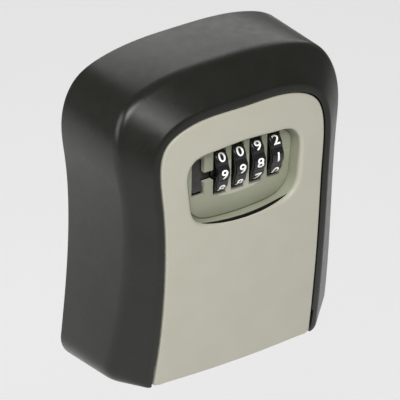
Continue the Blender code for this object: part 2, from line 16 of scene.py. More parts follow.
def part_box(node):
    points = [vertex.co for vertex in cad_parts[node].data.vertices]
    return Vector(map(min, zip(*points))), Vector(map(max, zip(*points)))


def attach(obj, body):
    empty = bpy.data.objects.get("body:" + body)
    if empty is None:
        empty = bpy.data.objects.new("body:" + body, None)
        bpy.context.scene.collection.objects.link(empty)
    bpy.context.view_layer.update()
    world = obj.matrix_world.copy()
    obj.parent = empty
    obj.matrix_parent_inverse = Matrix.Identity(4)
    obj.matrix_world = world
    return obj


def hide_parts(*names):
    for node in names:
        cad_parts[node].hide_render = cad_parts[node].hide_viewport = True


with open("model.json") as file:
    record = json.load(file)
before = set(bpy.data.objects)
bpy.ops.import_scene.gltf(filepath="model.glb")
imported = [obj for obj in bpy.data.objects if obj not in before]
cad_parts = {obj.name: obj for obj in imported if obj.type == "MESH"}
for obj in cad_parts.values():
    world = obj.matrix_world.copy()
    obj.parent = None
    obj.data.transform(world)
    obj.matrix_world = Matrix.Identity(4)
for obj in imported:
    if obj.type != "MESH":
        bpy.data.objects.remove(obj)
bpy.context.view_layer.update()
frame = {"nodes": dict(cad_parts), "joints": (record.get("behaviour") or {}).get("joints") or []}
JOINTS = {joint["name"]: joint for joint in frame["joints"]}

MM = 0.001
TOP_Z = 120.0
ZERO_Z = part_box("housing")[1].z / MM - TOP_Z       # the drawing's z = 0, in the frame
BOTTOM_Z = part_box("housing")[0].z / MM - ZERO_Z    # the housing reaches a little below it

# Housing
DRAFT = 0.8
WALL = 3.0
BACK_WALL = 2.5
PLAY = 0.3
DOOR_GAP = 0.55

# The crowned front and the crease where the side wall meets the bevel
FRONT_DEPTH = 44.48        # just under the peak of the CAD front, which is faceted
FRONT_RADIUS = 350.0
FRONT_TOP_Z = 64.0
CREASE_DEPTH = 35.0
CREASE_RADIUS = 215.0
CREASE_LOW_RADIUS = 240.0
CREASE_TOP_Z = 66.0

# Half outlines as (half width, height), from the bottom corner up to the top centre
CREASE_SIDE = [(49.6, 8.6), (47.3, 32.5), (46.3, 55.0), (47.9, 82.0),
               (49.2, 98.5), (43.9, 110.8), (32.8, 116.3), (0.0, TOP_Z - DRAFT)]
RIM_SIDE = [(38.4, 2.0), (37.8, 20.0), (37.5, 48.0), (38.7, 77.0),
            (39.1, 90.0), (35.6, 100.1), (27.3, 106.1), (0.0, 109.0)]
DOOR_SIDE = [(35.1, 1.0), (34.4, 20.0), (34.2, 45.0), (35.3, 75.0),
             (36.1, 87.0), (33.5, 97.6), (25.5, 102.7), (0.0, 104.9)]
WINDOW = [(0.0, 61.9), (9.0, 62.3), (15.5, 63.1), (20.5, 65.1), (23.2, 68.5), (24.2, 74.0),
          (24.9, 81.0), (24.3, 86.3), (21.6, 89.6), (14.5, 91.2), (0.0, 92.0)]
WINDOW_CENTRE = (0.0, 77.2)
CREASE_CORNER = CREASE_SIDE[0][1] - BOTTOM_Z - DRAFT
RIM_CORNER = 2.4
DOOR_CORNER = 1.0
HOLLOW_CORNER = 4.0
CHEEK_X = 36.0
CHEEK_BOSS_X = 40.4        # the bosses round the hinge pin's ends
CHEEK_BOSS_Z = (1.7, 9.4)
CHEEK_BOSS_Y = (-33.2, -26.2)
BACK_REACH = 0.5           # how far from each edge of the housing its rounding starts
CREASE_REACH = 2.6
RIM_REACH = 0.9
LIP_REACH = 0.5

# Door
DOOR_WALL = 2.5
DOOR_BACK_Y = -33.5
FLOOR_Y = -38.7
FLOOR_BACK_Y = -36.7
WALL_LEAN = 0.9            # the window's sides lean in by this much down to the floor
SEAM_DEPTH = 0.4           # where the seam in the window's bottom wall starts, below the crown
SEAM_WIDTH = 2.1
LIP = (0.4, 1.6)           # the window's edge round, in the middle of its bottom and at its sides
TRAY_RIM = 2.6
HEEL_RADIUS = 4.7
HEEL_HALF_WIDTH = 33.2
PIN_BORE_RADIUS = 1.8
HOUSING_BORE_X = 39.8
DOOR_BORE_X = 40.0
HEEL_SWEEP = 5.8           # room behind the pin for the door's bottom edge as it opens

# Dials, lever and their slots; places come from the frame's joints
HINGE_Y = JOINTS["door_hinge"]["pos_m"][1] / MM
HINGE_Z = JOINTS["door_hinge"]["pos_m"][2] / MM - ZERO_Z
DIAL_X = [JOINTS["dial_%d_spin" % i]["pos_m"][0] / MM for i in range(1, 5)]
DIAL_Y = JOINTS["dial_1_spin"]["pos_m"][1] / MM
DIAL_Z = JOINTS["dial_1_spin"]["pos_m"][2] / MM - ZERO_Z
DIAL_RADIUS = 10.7
DIAL_WIDTH = 5.0
DIAL_BORE = 4.3
DIGITS = 10
SCALLOP_DEPTH = 0.5
FRONT_DIGITS = (9, 9, 8, 1)
DIGIT_HEIGHT = 3.7
SLOT_WIDTH = 5.6
SLOT_HALF_HEIGHT = 9.3
LEVER_X = -17.9
LEVER_WIDTH = 4.6
LEVER_SLOT_WIDTH = 5.6
LEVER_SLOT = (73.0, 88.0)
NOTCH = (77.8, 81.8)
LEVER_BOTTOM = 74.8
ARM_THICKNESS = 0.7        # thin enough to pass in front of the first hub
LEVER_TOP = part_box("release_lever")[1].z / MM - ZERO_Z
CASE_SCREWS = [(-21.0, 62.6), (21.0, 62.6), (-23.1, 95.0), (23.1, 95.0)]
BOSS_RADIUS = 1.9
SCREW_HOLE_RADIUS = 1.3
TONGUE_SLOT = (-9.3, 9.3, 98.0, 110.0)
WALL_HOLE_RADIUS = 2.1
CASE_BACK_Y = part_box("lock_case")[1].y / MM
WALL_HOLES = [(-27.0, 22.0), (27.0, 22.0), (-27.0, 100.0), (27.0, 100.0)]

# Camera, about the box's middle
CAMERA_AZIMUTH = -36.8
CAMERA_ELEVATION = 27.84
CAMERA_ROLL = 0.85
CAMERA_DISTANCE = 1.9176
CAMERA_TARGET = Vector((0.0, -0.0199, 0.0002))
CAMERA_LENS = 478.0
CAMERA_SHIFT = (-0.0157, -0.0089)
CAMERA_SENSOR = 36.0

# Studio, in metres and watts
FLOOR_LEVEL = -0.30
WORLD_LIGHT = 0.25
WORLD_SHOWN = 0.95


# ---------------------------------------------------------------- curves and surfaces

def front_depth(x, z):
    """Depth of the crowned front at (x, z)."""
    return FRONT_DEPTH - (x * x + (z - FRONT_TOP_Z) ** 2) / (2 * FRONT_RADIUS)


def crease_depth(_, z):
    """Depth of the crease at height z; it bows less below its foremost point than above."""
    radius = CREASE_RADIUS if z > CREASE_TOP_Z else CREASE_LOW_RADIUS
    return CREASE_DEPTH - (z - CREASE_TOP_Z) ** 2 / (2 * radius)


def smooth_curve(points, steps):
    """Natural cubic spline through the points, with `steps` samples in each span."""
    pts = np.array(points, dtype=float)
    t = np.concatenate([[0.0], np.cumsum(np.linalg.norm(np.diff(pts, axis=0), axis=1))])
    h = np.diff(t)
    count = len(pts)
    matrix = np.eye(count)
    rhs = np.zeros((count, 2))
    for i in range(1, count - 1):
        matrix[i, i - 1:i + 2] = h[i - 1], 2 * (h[i - 1] + h[i]), h[i]
        rhs[i] = 6 * ((pts[i + 1] - pts[i]) / h[i] - (pts[i] - pts[i - 1]) / h[i - 1])
    bend = np.linalg.solve(matrix, rhs)
    curve = []
    for i in range(count - 1):
        for step in range(steps):
            b = step / steps
            a = 1.0 - b
            point = a * pts[i] + b * pts[i + 1]
            point = point + ((a ** 3 - a) * bend[i] + (b ** 3 - b) * bend[i + 1]) * h[i] ** 2 / 6
            curve.append((float(point[0]), float(point[1])))
    curve.append((float(pts[-1][0]), float(pts[-1][1])))
    return curve


def face_outline(side, corner, steps=12, corner_steps=8, bottom_steps=30):
    """Closed outline, counter-clockwise from the right foot: smooth sides, flat bottom."""
    mirrored = [(-x, z) for x, z in reversed(side[:-1])]
    curve = smooth_curve(side + mirrored, steps)
    foot_x, foot_z = side[0]
    reach = foot_x - corner
    bottom = foot_z - corner
    turn = [0.5 * math.pi * i / corner_steps for i in range(1, corner_steps + 1)]
    arc = [(reach + corner * math.cos(a), foot_z - corner * math.sin(a)) for a in turn]
    curve += [(-x, z) for x, z in arc]
    curve += [(-reach + 2 * reach * i / bottom_steps, bottom) for i in range(1, bottom_steps)]
    curve += list(reversed(arc))
    return curve


def window_outline(steps=12):
    """Closed outline of the window, from its bottom centre round to the right."""
    mirrored = [(-x, z) for x, z in reversed(WINDOW[:-1])]
    return smooth_curve(WINDOW + mirrored, steps)[:-1]


def offset_outline(outline, distance):
    """The closed outline moved outwards by `distance` (inwards when negative)."""
    moved = []
    count = len(outline)
    for i, (x, z) in enumerate(outline):
        before = outline[i - 1]
        after = outline[(i + 1) % count]
        dx = after[0] - before[0]
        dz = after[1] - before[1]
        length = math.hypot(dx, dz)
        moved.append((x + distance * dz / length, z - distance * dx / length))
    return moved


def seen_from(outline, centre, angles):
    """Where rays from the centre at these angles meet the outline."""
    polar = sorted((math.atan2(z - centre[1], x - centre[0]), math.hypot(x - centre[0], z - centre[1]))
                   for x, z in outline)
    radii = np.interp(angles, [a for a, _ in polar], [r for _, r in polar], period=2 * math.pi)
    return [(centre[0] + r * math.cos(a), centre[1] + r * math.sin(a))
            for a, r in zip(angles, radii)]


def at_depth(outline, depth):
    """The flat outline as 3-D points; depth is a number or a function of (x, z)."""
    if callable(depth):
        return [(x, -depth(x, z), z) for x, z in outline]
    return [(x, -depth, z) for x, z in outline]


def rounded(before, corner, after, reach, steps):
    """Rings that round the edge at `corner`, starting and ending `reach` from it.

    reach is one number or a list with one for each point.
    """
    reaches = reach if isinstance(reach, list) else [reach] * len(corner)
    rings = []
    for step in range(steps + 1):
        t = step / steps
        ring = []
        for p, q, r, far in zip(before, corner, after, reaches):
            p, q, r = Vector(p), Vector(q), Vector(r)
            start = q + (p - q).normalized() * far
            end = q + (r - q).normalized() * far
            ring.append(tuple(start * (1 - t) ** 2 + q * 2 * t * (1 - t) + end * t * t))
        rings.append(ring)
    return rings


def between(first, second, count):
    """`count` rings evenly between two rings, without the two themselves."""
    rings = []
    for step in range(1, count + 1):
        t = step / (count + 1)
        rings.append([tuple(Vector(a).lerp(Vector(b), t)) for a, b in zip(first, second)])
    return rings


# ---------------------------------------------------------------- mesh helpers

def new_object(name, bm):
    """Mesh object from a bmesh drawn in millimetres."""
    bmesh.ops.recalc_face_normals(bm, faces=bm.faces)
    for vertex in bm.verts:
        x, y, z = vertex.co
        vertex.co = (x * MM, y * MM, (z + ZERO_Z) * MM)
    mesh = bpy.data.meshes.new(name)
    bm.to_mesh(mesh)
    bm.free()
    obj = bpy.data.objects.new(name, mesh)
    bpy.context.scene.collection.objects.link(obj)
    return obj


def loft(name, rings, closed=False, finishes=None):
    """Skin over rings of equal length, capped at both ends or closed round on itself.

    finishes gives the material index of the band that starts at each ring.
    """
    bm = bmesh.new()
    loops = [[bm.verts.new(point) for point in ring] for ring in rings]
    pairs = list(zip(loops, loops[1:]))
    if closed:
        pairs.append((loops[-1], loops[0]))
    for band, (first, second) in enumerate(pairs):
        for i in range(len(first)):
            j = (i + 1) % len(first)
            face = bm.faces.new((first[i], first[j], second[j], second[i]))
            if finishes:
                face.material_index = finishes[band]
    if not closed:
        bm.faces.new(loops[0])
        bm.faces.new(reversed(loops[-1]))
    return new_object(name, bm)


def prism(outline, start, end, name="tool"):
    """The (x, z) outline extruded along Y."""
    return loft(name, [[(x, y, z) for x, z in outline] for y in (start, end)])


def side_prism(outline, start, end, name="tool"):
    """The (y, z) outline extruded along X."""
    return loft(name, [[(x, y, z) for y, z in outline] for x in (start, end)])


def block(left, right, bottom, top, start, end):
    """Box between two X, two Z and two Y planes."""
    return prism([(left, bottom), (right, bottom), (right, top), (left, top)], start, end)


def circle(centre, radius, segments=48):
    """Points of a circle round a centre."""
    turn = 2 * math.pi / segments
    return [(centre[0] + radius * math.cos(turn * i), centre[1] + radius * math.sin(turn * i))
            for i in range(segments)]


def bake(obj):
    """Replace the object's mesh by its evaluated one, without modifiers."""
    bpy.context.view_layer.update()
    graph = bpy.context.evaluated_depsgraph_get()
    mesh = bpy.data.meshes.new_from_object(obj.evaluated_get(graph))
    obj.modifiers.clear()
    obj.data = mesh


def combine(target, operation, *tools, solver="EXACT"):
    """Boolean the tools into the target and remove them."""
    for tool in tools:
        modifier = target.modifiers.new(operation, "BOOLEAN")
        modifier.operation = operation
        modifier.solver = solver
        modifier.object = tool
    bake(target)
    for tool in tools:
        bpy.data.objects.remove(tool)


def bevel(obj, width, segments=3, angle=30.0):
    """Round the sharp edges by a width in millimetres."""
    modifier = obj.modifiers.new("edges", "BEVEL")
    modifier.width = width * MM
    modifier.segments = segments
    modifier.limit_method = "ANGLE"
    modifier.angle_limit = math.radians(angle)
    modifier.use_clamp_overlap = True
    bake(obj)


def shade(obj, angle=32.0):
    """Smooth shading across the shallow edges."""
    obj.data.shade_smooth()
    obj.data.set_sharp_from_angle(angle=math.radians(angle))


def finish_piece(obj, body, slot, materials, *nodes):
    """Materials, body and the CAD nodes the piece stands for; the slot argument is not used."""
    faces = [face.material_index for face in obj.data.polygons]
    obj.data.materials.clear()
    for material in materials:
        obj.data.materials.append(material)
    obj.data.polygons.foreach_set("material_index", faces)
    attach(obj, body)
    if nodes:
        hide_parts(*nodes)


# ---------------------------------------------------------------- materials

def new_material(name, colour, roughness, metallic=0.0):
    """Principled material and its shader."""
    material = bpy.data.materials.new(name)
    material.use_nodes = True
    shader = material.node_tree.nodes["Principled BSDF"]
    shader.inputs["Base Color"].default_value = (*colour, 1.0)
    shader.inputs["Roughness"].default_value = roughness
    shader.inputs["Metallic"].default_value = metallic
    return material, shader


def noise(tree, scale, detail=3.0, stretch=(1.0, 1.0, 1.0)):
    """Noise over the object's own coordinates; scale counts features per metre."""
    place = tree.nodes.new("ShaderNodeTexCoord")
    mapping = tree.nodes.new("ShaderNodeMapping")
    mapping.inputs["Scale"].default_value = stretch
    texture = tree.nodes.new("ShaderNodeTexNoise")
    texture.inputs["Scale"].default_value = scale
    texture.inputs["Detail"].default_value = detail
    tree.links.new(place.outputs["Object"], mapping.inputs["Vector"])
    tree.links.new(mapping.outputs["Vector"], texture.inputs["Vector"])
    return texture.outputs["Fac"]


def spread(tree, value, low, high):
    """Map a 0.3 to 0.7 value to low to high."""
    node = tree.nodes.new("ShaderNodeMapRange")
    node.inputs["From Min"].default_value = 0.3
    node.inputs["From Max"].default_value = 0.7
    node.inputs["To Min"].default_value = low
    node.inputs["To Max"].default_value = high
    tree.links.new(value, node.inputs["Value"])
    return node.outputs["Result"]


def tint(tree, value, dark, light):
    """Colour between dark and light by the value."""
    node = tree.nodes.new("ShaderNodeMix")
    node.data_type = "RGBA"
    node.inputs["A"].default_value = (*dark, 1.0)
    node.inputs["B"].default_value = (*light, 1.0)
    tree.links.new(value, node.inputs["Factor"])
    return node.outputs["Result"]


def add_bump(tree, shader, height, strength, distance):
    """Bump of a height in millimetres on the shader."""
    node = tree.nodes.new("ShaderNodeBump")
    node.inputs["Strength"].default_value = strength
    node.inputs["Distance"].default_value = distance * MM
    tree.links.new(height, node.inputs["Height"])
    tree.links.new(node.outputs["Normal"], shader.inputs["Normal"])


def painted(name, dark, light, roughness, grain, specular):
    """Paint over a casting: faint mottling, uneven gloss and a fine orange peel."""
    material, shader = new_material(name, light, roughness)
    tree = material.node_tree
    shader.inputs["Specular IOR Level"].default_value = specular
    mottle = spread(tree, noise(tree, 90.0, 4.0), 0.0, 1.0)
    tree.links.new(tint(tree, mottle, dark, light), shader.inputs["Base Color"])
    gloss = spread(tree, noise(tree, 260.0, 3.0), roughness - 0.04, roughness + 0.04)
    tree.links.new(gloss, shader.inputs["Roughness"])
    add_bump(tree, shader, noise(tree, 1800.0, 2.0), grain, 0.05)
    return material


def cast_metal(name, dark, light, roughness):
    """Raw casting or plated steel: cloudy colour, uneven gloss, fine pitting."""
    material, shader = new_material(name, light, roughness, 1.0)
    tree = material.node_tree
    clouds = spread(tree, noise(tree, 220.0, 6.0), 0.0, 1.0)
    tree.links.new(tint(tree, clouds, dark, light), shader.inputs["Base Color"])
    gloss = spread(tree, noise(tree, 900.0, 4.0), roughness - 0.1, roughness + 0.1)
    tree.links.new(gloss, shader.inputs["Roughness"])
    add_bump(tree, shader, noise(tree, 2600.0, 4.0), 0.25, 0.05)
    return material


def turned_metal(name, dark, light, roughness):
    """Metal with fine rings or drawing lines across X."""
    material, shader = new_material(name, light, roughness, 1.0)
    tree = material.node_tree
    lines = noise(tree, 900.0, 3.0, (6.0, 0.3, 0.3))
    tree.links.new(tint(tree, spread(tree, lines, 0.0, 1.0), dark, light),
                   shader.inputs["Base Color"])
    tree.links.new(spread(tree, lines, roughness - 0.08, roughness + 0.1),
                   shader.inputs["Roughness"])
    add_bump(tree, shader, lines, 0.2, 0.03)
    return material


def moulded(name, colour, roughness, grain):
    """Moulded plastic with slightly uneven gloss and a fine surface."""
    material, shader = new_material(name, colour, roughness)
    tree = material.node_tree
    lighter = tuple(c * 1.6 + 0.002 for c in colour)
    patches = spread(tree, noise(tree, 400.0, 4.0), 0.0, 1.0)
    tree.links.new(tint(tree, patches, colour, lighter), shader.inputs["Base Color"])
    gloss = spread(tree, noise(tree, 1500.0, 3.0), roughness - 0.05, roughness + 0.08)
    tree.links.new(gloss, shader.inputs["Roughness"])
    add_bump(tree, shader, noise(tree, 5000.0, 2.0), grain, 0.02)
    return material


def build_materials():
    """Every material of the box, by name."""
    return {
        "housing": painted("housing_paint", (0.0095, 0.0095, 0.0070), (0.0125, 0.0125, 0.0095),
                           0.30, 0.10, 0.36),
        "door": painted("door_paint", (0.485, 0.468, 0.383), (0.505, 0.490, 0.407),
                        0.42, 0.15, 0.4),
        # The window's floor and walls: the insert's own darker, greener paint, with painted shade of
        # the recess taken into its colour.
        "pocket": painted("pocket_paint_and_shade", (0.330, 0.342, 0.252), (0.350, 0.362, 0.270),
                          0.45, 0.15, 0.3),
        # The seam's material is painted shadow: near-black, so the shallow groove in the window's
        # bottom wall reads as a deep dark shadow line.
        "seam": moulded("seam_shadow_black", (0.008, 0.008, 0.007), 0.6, 0.3),
        "dial": moulded("dial_plastic", (0.006, 0.006, 0.006), 0.22, 0.1),
        "digit": moulded("digit_paint", (0.85, 0.85, 0.83), 0.45, 0.1),
        "lever": moulded("lever_plastic", (0.03, 0.029, 0.027), 0.42, 0.3),
        "zinc": cast_metal("cast_zinc", (0.36, 0.36, 0.35), (0.5, 0.5, 0.49), 0.42),
        "steel": turned_metal("plated_steel", (0.48, 0.48, 0.47), (0.62, 0.62, 0.61), 0.26),
        "brass": turned_metal("turned_brass", (0.55, 0.38, 0.14), (0.7, 0.5, 0.22), 0.3),
    }


# ---------------------------------------------------------------- housing

def build_housing(material):
    """Cast shell with a rounded crease and rim, cut open for the door's heel."""
    crease = face_outline(CREASE_SIDE, CREASE_CORNER)
    rim = face_outline(RIM_SIDE, RIM_CORNER)
    opening = offset_outline(face_outline(DOOR_SIDE, DOOR_CORNER), DOOR_GAP)
    lip = [(x, max(z, WALL)) for x, z in opening]
    back = offset_outline(crease, DRAFT)
    inner = offset_outline(crease, -WALL)

    back_cap = at_depth(offset_outline(back, -1.0), 0.0)
    back_edge = at_depth(back, 0.0)
    crease_edge = at_depth(crease, crease_depth)
    rim_edge = at_depth(rim, front_depth)
    lip_edge = at_depth(lip, front_depth)
    lip_back = at_depth(lip, lambda x, z: front_depth(x, z) - WALL)
    rings = [back_cap]
    rings += rounded(back_cap, back_edge, crease_edge, BACK_REACH, 3)
    rings += rounded(back_edge, crease_edge, rim_edge, CREASE_REACH, 10)
    rings += rounded(crease_edge, rim_edge, lip_edge, RIM_REACH, 6)
    rings += rounded(rim_edge, lip_edge, lip_back, LIP_REACH, 4)
    rings += [lip_back]
    rings += [at_depth(inner, lambda x, z: crease_depth(x, z) - 2.0)]
    rings += [at_depth(inner, BACK_WALL)]
    housing = loft("housing_shell", rings)

    # The shell crosses itself slightly near its foot, and EXACT would leave nothing of it.
    for sign in (-1, 1):
        near, far = sorted((sign * (CHEEK_X - 0.2), sign * CHEEK_BOSS_X))
        boss = block(near, far, *CHEEK_BOSS_Z, *CHEEK_BOSS_Y)
        combine(housing, "UNION", boss, solver="MANIFOLD")
    heel_room = block(-CHEEK_X, CHEEK_X, BOTTOM_Z - 1.0, HINGE_Z + HEEL_RADIUS, -60.0,
                      HINGE_Y + HEEL_SWEEP)
    pin_bore = side_prism(circle((HINGE_Y, HINGE_Z), PIN_BORE_RADIUS),
                          -HOUSING_BORE_X, HOUSING_BORE_X)
    wall_holes = [prism(circle(hole, WALL_HOLE_RADIUS), -10.0, 5.0) for hole in WALL_HOLES]
    combine(housing, "DIFFERENCE", heel_room, pin_bore, *wall_holes, solver="MANIFOLD")
    shade(housing)
    finish_piece(housing, "box", "housing_paint", [material], "housing")


# ---------------------------------------------------------------- door

def ease(value, low, high):
    """0 up to low, 1 from high on, and smooth between."""
    t = min(max((value - low) / (high - low), 0.0), 1.0)
    return t * t * (3 - 2 * t)


def mixed(first, second, shares):
    """Outline part of the way from the first to the second, by each point's share."""
    return [(a[0] + (b[0] - a[0]) * t, a[1] + (b[1] - a[1]) * t)
            for a, b, t in zip(first, second, shares)]


def window_rings(angles):
    """Rings from the middle of the window's floor up its wall, with the finish of each band."""
    window = window_outline()

    def inset(distance):
        return seen_from(offset_outline(window, distance), WINDOW_CENTRE, angles)

    mouth = inset(0.0)
    sides = [ease(z, 62.4, 66.0) for _, z in mouth]
    seam = [1.0 - t for t in sides]
    lip_shares = [max(side, ease(abs(x), 4.0, 20.0)) for side, (x, _) in zip(sides, mouth)]
    reaches = [LIP[0] + (LIP[1] - LIP[0]) * t for t in lip_shares]
    starts = [SEAM_DEPTH + 0.5 * t for t in lip_shares]
    foot = mixed(mouth, inset(-WALL_LEAN), sides)
    floor = mixed(inset(-0.6), inset(-0.6 - WALL_LEAN), sides)
    middle = [((x + WINDOW_CENTRE[0]) / 2, (z + WINDOW_CENTRE[1]) / 2) for x, z in floor]
    recess = mixed(mouth, inset(2.0), seam)

    middle = at_depth(middle, -FLOOR_Y)
    floor_edge = at_depth(floor, -FLOOR_Y)
    groove = at_depth(floor, -FLOOR_Y - 0.8)
    foot = at_depth(foot, -FLOOR_Y - 0.8)
    upper = [(x, start - front_depth(x, z), z) for (x, z), start in zip(mouth, starts)]
    lower = [(x, y + 0.1 + SEAM_WIDTH * t, z) for (x, y, z), t in zip(upper, seam)]
    upper_back = [(x, y, z) for (x, z), (_, y, _) in zip(recess, upper)]
    lower_back = [(x, y, z) for (x, z), (_, y, _) in zip(recess, lower)]
    rings = rounded(middle, floor_edge, groove, 0.2, 2) + [groove, foot, lower]
    rings += [lower_back, upper_back]
    # Band finishes: 1 is the pocket's darker paint with painted shade, 2 is the seam's painted shadow,
    # 0 is the door paint.
    finishes = [1] * 5 + [2] * 2 + [0]
    lip = at_depth(inset(0.15), front_depth)
    crown = at_depth(inset(6.0), front_depth)
    lip_rings = rounded(upper, lip, crown, reaches, 8)
    return [middle] + rings + [upper] + lip_rings, [1] + finishes + [0] * len(lip_rings)


def door_shell(materials):
    """One skin from the window's floor, up its wall, over the crown, round to the tray's back."""
    edge = face_outline(DOOR_SIDE, DOOR_CORNER)
    angles = [math.atan2(z - WINDOW_CENTRE[1], x - WINDOW_CENTRE[0]) for x, z in edge]
    roomy_side = [(DOOR_SIDE[0][0], HOLLOW_CORNER)] + DOOR_SIDE[1:]
    hollow = offset_outline(face_outline(roomy_side, HOLLOW_CORNER), -DOOR_WALL)
    hollow = seen_from(hollow, WINDOW_CENTRE, angles)
    tray = seen_from(offset_outline(window_outline(), TRAY_RIM), WINDOW_CENTRE, angles)

    edge_front = at_depth(edge, front_depth)
    edge_back = at_depth(edge, -DOOR_BACK_Y)
    rings, finishes = window_rings(angles)
    for ring in between(rings[-1], edge_front, 12):
        rings.append([(x, -front_depth(x, z), z) for x, _, z in ring])
    rings += rounded(rings[-1], edge_front, edge_back, 0.8, 5)
    rings += [edge_back]
    rings += [at_depth(hollow, -DOOR_BACK_Y)]
    rings += [at_depth(hollow, lambda x, z: front_depth(x, z) - DOOR_WALL)]
    rings += [at_depth(tray, lambda x, z: front_depth(x, z) - DOOR_WALL)]
    rings += [at_depth(tray, -FLOOR_BACK_Y)]
    finishes += [0] * (len(rings) - len(finishes))
    door = loft("door_skin", rings, finishes=finishes)
    for material in materials:
        door.data.materials.append(material)
    return door


def soften_slots(door):
    """Small round on the slots' front edges in the window's floor."""
    bm = bmesh.new()
    bm.from_mesh(door.data)
    level = FLOOR_Y * MM
    edges = [edge for edge in bm.edges
             if all(abs(v.co.y - level) < 1e-6 for v in edge.verts)
             and len(edge.link_faces) == 2 and edge.calc_face_angle() > math.radians(85.0)]
    bmesh.ops.bevel(bm, geom=edges, offset=0.2 * MM, segments=2, affect="EDGES",
                    clamp_overlap=True)
    bm.to_mesh(door.data)
    bm.free()


def build_door(*materials):
    """Crowned door with its heel, bosses, slots and the index line beside the last dial."""
    door = door_shell(materials)
    heel = side_prism(circle((HINGE_Y, HINGE_Z), HEEL_RADIUS), -HEEL_HALF_WIDTH, HEEL_HALF_WIDTH)
    web = block(-HEEL_HALF_WIDTH, HEEL_HALF_WIDTH, HINGE_Z - HEEL_RADIUS,
                HINGE_Z + HEEL_RADIUS, -37.4, HINGE_Y)
    combine(door, "UNION", heel, web)
    boss_end = CASE_BACK_Y - 1.8
    combine(door, "UNION", *[prism(circle(c, BOSS_RADIUS, 24), -39.8, boss_end)
                             for c in CASE_SCREWS])
    slots = [block(x - SLOT_WIDTH / 2, x + SLOT_WIDTH / 2, DIAL_Z - SLOT_HALF_HEIGHT,
                   DIAL_Z + SLOT_HALF_HEIGHT, FLOOR_Y - 1.0, FLOOR_BACK_Y + 1.0) for x in DIAL_X]
    left = LEVER_X - LEVER_SLOT_WIDTH / 2
    right = LEVER_X + LEVER_SLOT_WIDTH / 2
    slots.append(block(left, right, *LEVER_SLOT, FLOOR_Y - 1.0, FLOOR_BACK_Y + 1.0))
    slots.append(block(right - 0.5, DIAL_X[0] - SLOT_WIDTH / 2 + 0.5, *NOTCH, FLOOR_Y - 1.0,
                       FLOOR_BACK_Y + 1.0))
    combine(door, "DIFFERENCE", *slots)
    index = block(DIAL_X[-1] + SLOT_WIDTH / 2 + 0.8, 22.6, DIAL_Z - 0.3, DIAL_Z + 0.3,
                  FLOOR_Y - 0.5, FLOOR_Y + 0.35)
    combine(door, "DIFFERENCE", index)
    combine(door, "DIFFERENCE", *[prism(circle(c, SCREW_HOLE_RADIUS, 24), -31.0, -10.0)
                                  for c in CASE_SCREWS])
    combine(door, "DIFFERENCE", side_prism(circle((HINGE_Y, HINGE_Z), PIN_BORE_RADIUS),
                                           -DOOR_BORE_X, DOOR_BORE_X))
    tongue_low, tongue_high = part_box("bolt_plate")
    combine(door, "DIFFERENCE", block(*TONGUE_SLOT, tongue_low.y / MM - PLAY,
                                      tongue_high.y / MM))
    soften_slots(door)
    shade(door)
    finish_piece(door, "door", "door_paint", materials, "door_panel")


# ---------------------------------------------------------------- dials

def dial_radius(angle):
    """Radius at an angle from a digit's centre: crests with a scallop between each two."""
    dip = 0.5 - 0.5 * math.cos(DIGITS * angle)
    return DIAL_RADIUS - SCALLOP_DEPTH * dip ** 2


def dial_ring(x, inset):
    """Scalloped ring at x, drawn in by `inset`."""
    count = 240
    ring = []
    for i in range(count):
        angle = 2 * math.pi * i / count
        radius = dial_radius(angle) - inset
        ring.append((x, DIAL_Y - radius * math.cos(angle), DIAL_Z + radius * math.sin(angle)))
    return ring


def plain_ring(x, radius):
    """Round ring at x with as many points as a dial ring."""
    return [(x, DIAL_Y - radius * math.cos(a), DIAL_Z + radius * math.sin(a))
            for a in (2 * math.pi * i / 240 for i in range(240))]


def build_dial(number, x, material):
    """Wheel with rounded shoulders and a shallow dish in each side."""
    half = DIAL_WIDTH / 2
    rings = [plain_ring(x - half, DIAL_BORE), plain_ring(x - half, 5.6),
             plain_ring(x - half + 0.35, 6.0), plain_ring(x - half + 0.35, 8.4),
             plain_ring(x - half, 8.9)]
    shoulder = [(0.0, 0.45), (0.06, 0.22), (0.22, 0.06), (0.45, 0.0)]
    rings += [dial_ring(x - half + along, inset) for along, inset in shoulder]
    rings += [dial_ring(x + half - along, inset) for along, inset in reversed(shoulder)]
    rings += [plain_ring(x + half, 8.9), plain_ring(x + half - 0.35, 8.4),
              plain_ring(x + half - 0.35, 6.0), plain_ring(x + half, 5.6),
              plain_ring(x + half, DIAL_BORE)]
    dial = loft("dial_wheel_%d" % number, rings, closed=True)
    shade(dial, 40.0)
    finish_piece(dial, "dial_%d_body" % number, "dial_plastic", [material], "dial_%d" % number)


def digit_mesh(digit):
    """Flat numeral, centred, `DIGIT_HEIGHT` tall, sliced fine enough to bend round a wheel."""
    curve = bpy.data.curves.new("numeral", "FONT")
    curve.body = str(digit)
    curve.align_x = "CENTER"
    curve.size = 1.0
    curve.offset = 0.012
    text = bpy.data.objects.new("numeral", curve)
    bpy.context.scene.collection.objects.link(text)
    bpy.context.view_layer.update()
    graph = bpy.context.evaluated_depsgraph_get()
    mesh = bpy.data.meshes.new_from_object(text.evaluated_get(graph))
    bpy.data.objects.remove(text)
    bm = bmesh.new()
    bm.from_mesh(mesh)
    xs = [v.co.x for v in bm.verts]
    ys = [v.co.y for v in bm.verts]
    middle = Vector(((min(xs) + max(xs)) / 2, (min(ys) + max(ys)) / 2, 0.0))
    scale = DIGIT_HEIGHT / (max(ys) - min(ys))
    for vertex in bm.verts:
        x, y, _ = vertex.co - middle
        vertex.co = (x * scale * 1.22, y * scale, 0.0)
    for step in range(-9, 10):
        geometry = bm.verts[:] + bm.edges[:] + bm.faces[:]
        bmesh.ops.bisect_plane(bm, geom=geometry, dist=1e-5, plane_co=(0.0, 0.2 * step, 0.0),
                               plane_no=(0.0, 1.0, 0.0))
    return bm


